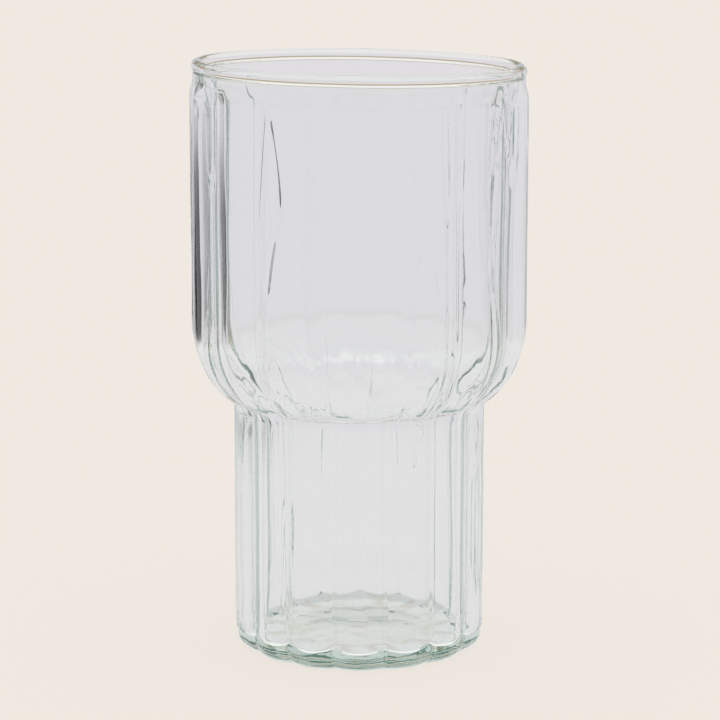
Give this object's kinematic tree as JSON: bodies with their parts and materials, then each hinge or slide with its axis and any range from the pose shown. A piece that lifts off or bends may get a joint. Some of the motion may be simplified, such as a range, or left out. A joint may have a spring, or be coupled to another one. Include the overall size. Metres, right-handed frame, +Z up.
{
  "type": "tall tumbler",
  "caption": "Tall clear-glass tumbler: a wide fluted bowl over a narrower fluted column, with a curved shoulder, a plain rounded rim and a thick base, for cold drinks.",
  "frame": {"origin": "centre of the standing ring, on the table", "axes": "+Z up along the glass's own axis; one flute crest faces -Y, the front"},
  "size_m": [0.077, 0.0766, 0.135],
  "materials": {
    "clear_glass": "gloss"
  },
  "bodies": {
    "root": {"tumbler_glass": "clear_glass"}
  },
  "joints": []
}
